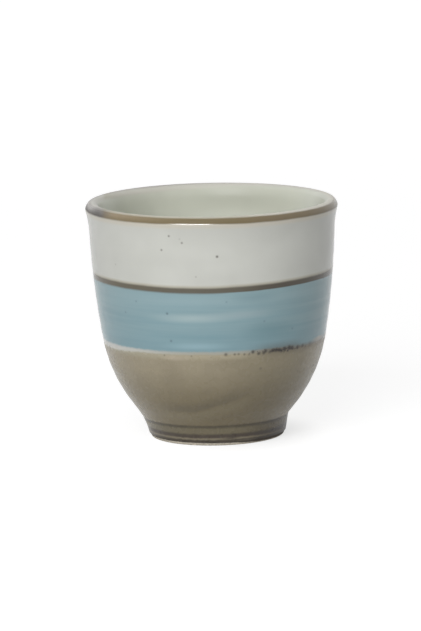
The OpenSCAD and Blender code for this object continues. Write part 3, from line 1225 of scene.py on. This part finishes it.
bowl_clay = clay_finish("bowl_clay", (206, 196, 178), (196, 186, 166), washed=False)
foot_clay = clay_finish("foot_clay", (206, 198, 182), (188, 179, 163), washed=True)
print("clay finishes:", bowl_clay.name, "and", foot_clay.name)

# %% [markdown]
# ## Bowl
# The bowl is thrown in one piece, and all of it but the joint with the foot ring lies under glaze.
# It still gets its true shape, so that whoever takes the coats off finds clay there: the section
# set in by the thickness of a coat, closed by a flat underside.

# %% Bowl
to_joint = slice(0, spans["grey_bowl"].stop)
under_bowl = np.stack([np.zeros((1, TURN_STEPS)), np.full((1, TURN_STEPS), joint_height)])
bowl_rows = np.concatenate([lifted(to_joint, coat), under_bowl], axis=1)
turned_piece("bowl_piece", bowl_rows, np.append(down[to_joint], 0), bowl_clay, "bowl")

# %% [markdown]
# ## Foot ring
# The ring is luted under the bowl and then turned: leaning outside, two rounded edges at the table
# and a leaning wall in the well. Its outside follows the section, so that the coats seat on it, and
# its lower half is drawn here.

# %% Foot ring
foot_thickness = 5.0
well_lean = 8.0
edge_curve = 0.7
EDGE_STEPS = 8


def well_radius(height):
    """Radius of the well's bare wall: foot radius - foot thickness - height * tan(lean)."""
    return foot_radius - foot_thickness - height * np.tan(np.radians(well_lean))


def edge_set_in(lean):
    """How far the centre of a rounded edge lies in from its face at the table."""
    return edge_curve * (1 - np.sin(np.radians(lean))) / np.cos(np.radians(lean))


def all_round(line):
    """A plain line as rows of radius and height, the same at every angle."""
    return np.repeat(line.T[:, :, None], TURN_STEPS, axis=2)


clay_radius = foot_radius - coat / np.cos(np.radians(foot_lean))
outer_edge = np.array([clay_radius - edge_set_in(foot_lean), edge_curve])
inner_edge = np.array([well_radius(0) + edge_set_in(well_lean), edge_curve])
well_heights = np.linspace(edge_curve, joint_height, EDGE_STEPS)[1:]
foot_low = np.concatenate([
    arc(outer_edge, edge_curve, -foot_lean, -90, EDGE_STEPS),
    arc(inner_edge, edge_curve, -90, well_lean - 180, EDGE_STEPS),
    np.stack([well_radius(well_heights), well_heights], axis=1)])
ring_span = slice(spans["grey_foot"].start, spans["wash"].stop)
ring_rows = np.concatenate([lifted(ring_span, coat), all_round(foot_low)], axis=1)
ring_down = np.append(down[ring_span], np.full(len(foot_low), down[-1]))
turned_piece("foot_ring_piece", ring_rows, ring_down, foot_clay, "foot_ring")

# %% [markdown]
# ## Coats of glaze
# Each band is a coat with a face, a back on the clay and two thin edges, cut from the one line.
# The inside has a satin glaze and is the least shiny. The bands of the wall are the glassiest, and
# belly and foot lie between.

# %% Coats of bowl and foot
coats = [
    ("liner_coat", "liner", "liner", "liner_glaze", 0.36, 0.44),
    ("rim_coat", "rim", "rim", "rim_glaze", 0.16, 0.2),
    ("white_coat", "white", "white", "white_glaze", 0.12, 0.18),
    ("line_coat", "line", "line", "brown_line", 0.12, 0.18),
    ("blue_coat", "blue", "blue", "blue_glaze", 0.12, 0.18),
    ("pale_coat", "pale", "pale", "pale_edge", 0.14, 0.2),
    ("grey_coat", "grey_bowl", "grey_foot", "grey_glaze", 0.22, 0.32),
    ("wash_coat", "wash", "wash", "foot_wash", 0.25, 0.4),
]
for name, start, end, slot, smooth, rough in coats:
    coat_piece(name, start, end, glaze_finish(slot, smooth, rough), slot)

# %% [markdown]
# ## Glaze in the well
# Under the cup the glaze covers the well down to the bare ring and pools in its corner as a round
# hollow. It takes the colour of the lower belly.

# %% Coat of the well
well_bare = 2.0
pool_curve = 1.2
well_paint_height = 14.0

coat_set_in = coat / np.cos(np.radians(well_lean))
pool_height = joint_height - coat - pool_curve
pool_set_in = (coat + pool_curve) / np.cos(np.radians(well_lean))
pool_centre = np.array([well_radius(pool_height) - pool_set_in, pool_height])
well_line = np.concatenate([
    [[0, joint_height], [well_radius(joint_height), joint_height]],
    [[well_radius(well_bare), well_bare], [well_radius(well_bare) - coat_set_in, well_bare]],
    arc(pool_centre, pool_curve, well_lean, 90, EDGE_STEPS),
    [[0, joint_height - coat]]])
well_down = np.full(len(well_line), down_at(well_paint_height))
well_finish = glaze_finish("well_glaze", smooth=0.25, rough=0.35)
turned_piece("well_coat", all_round(well_line), well_down, well_finish, "well_glaze")
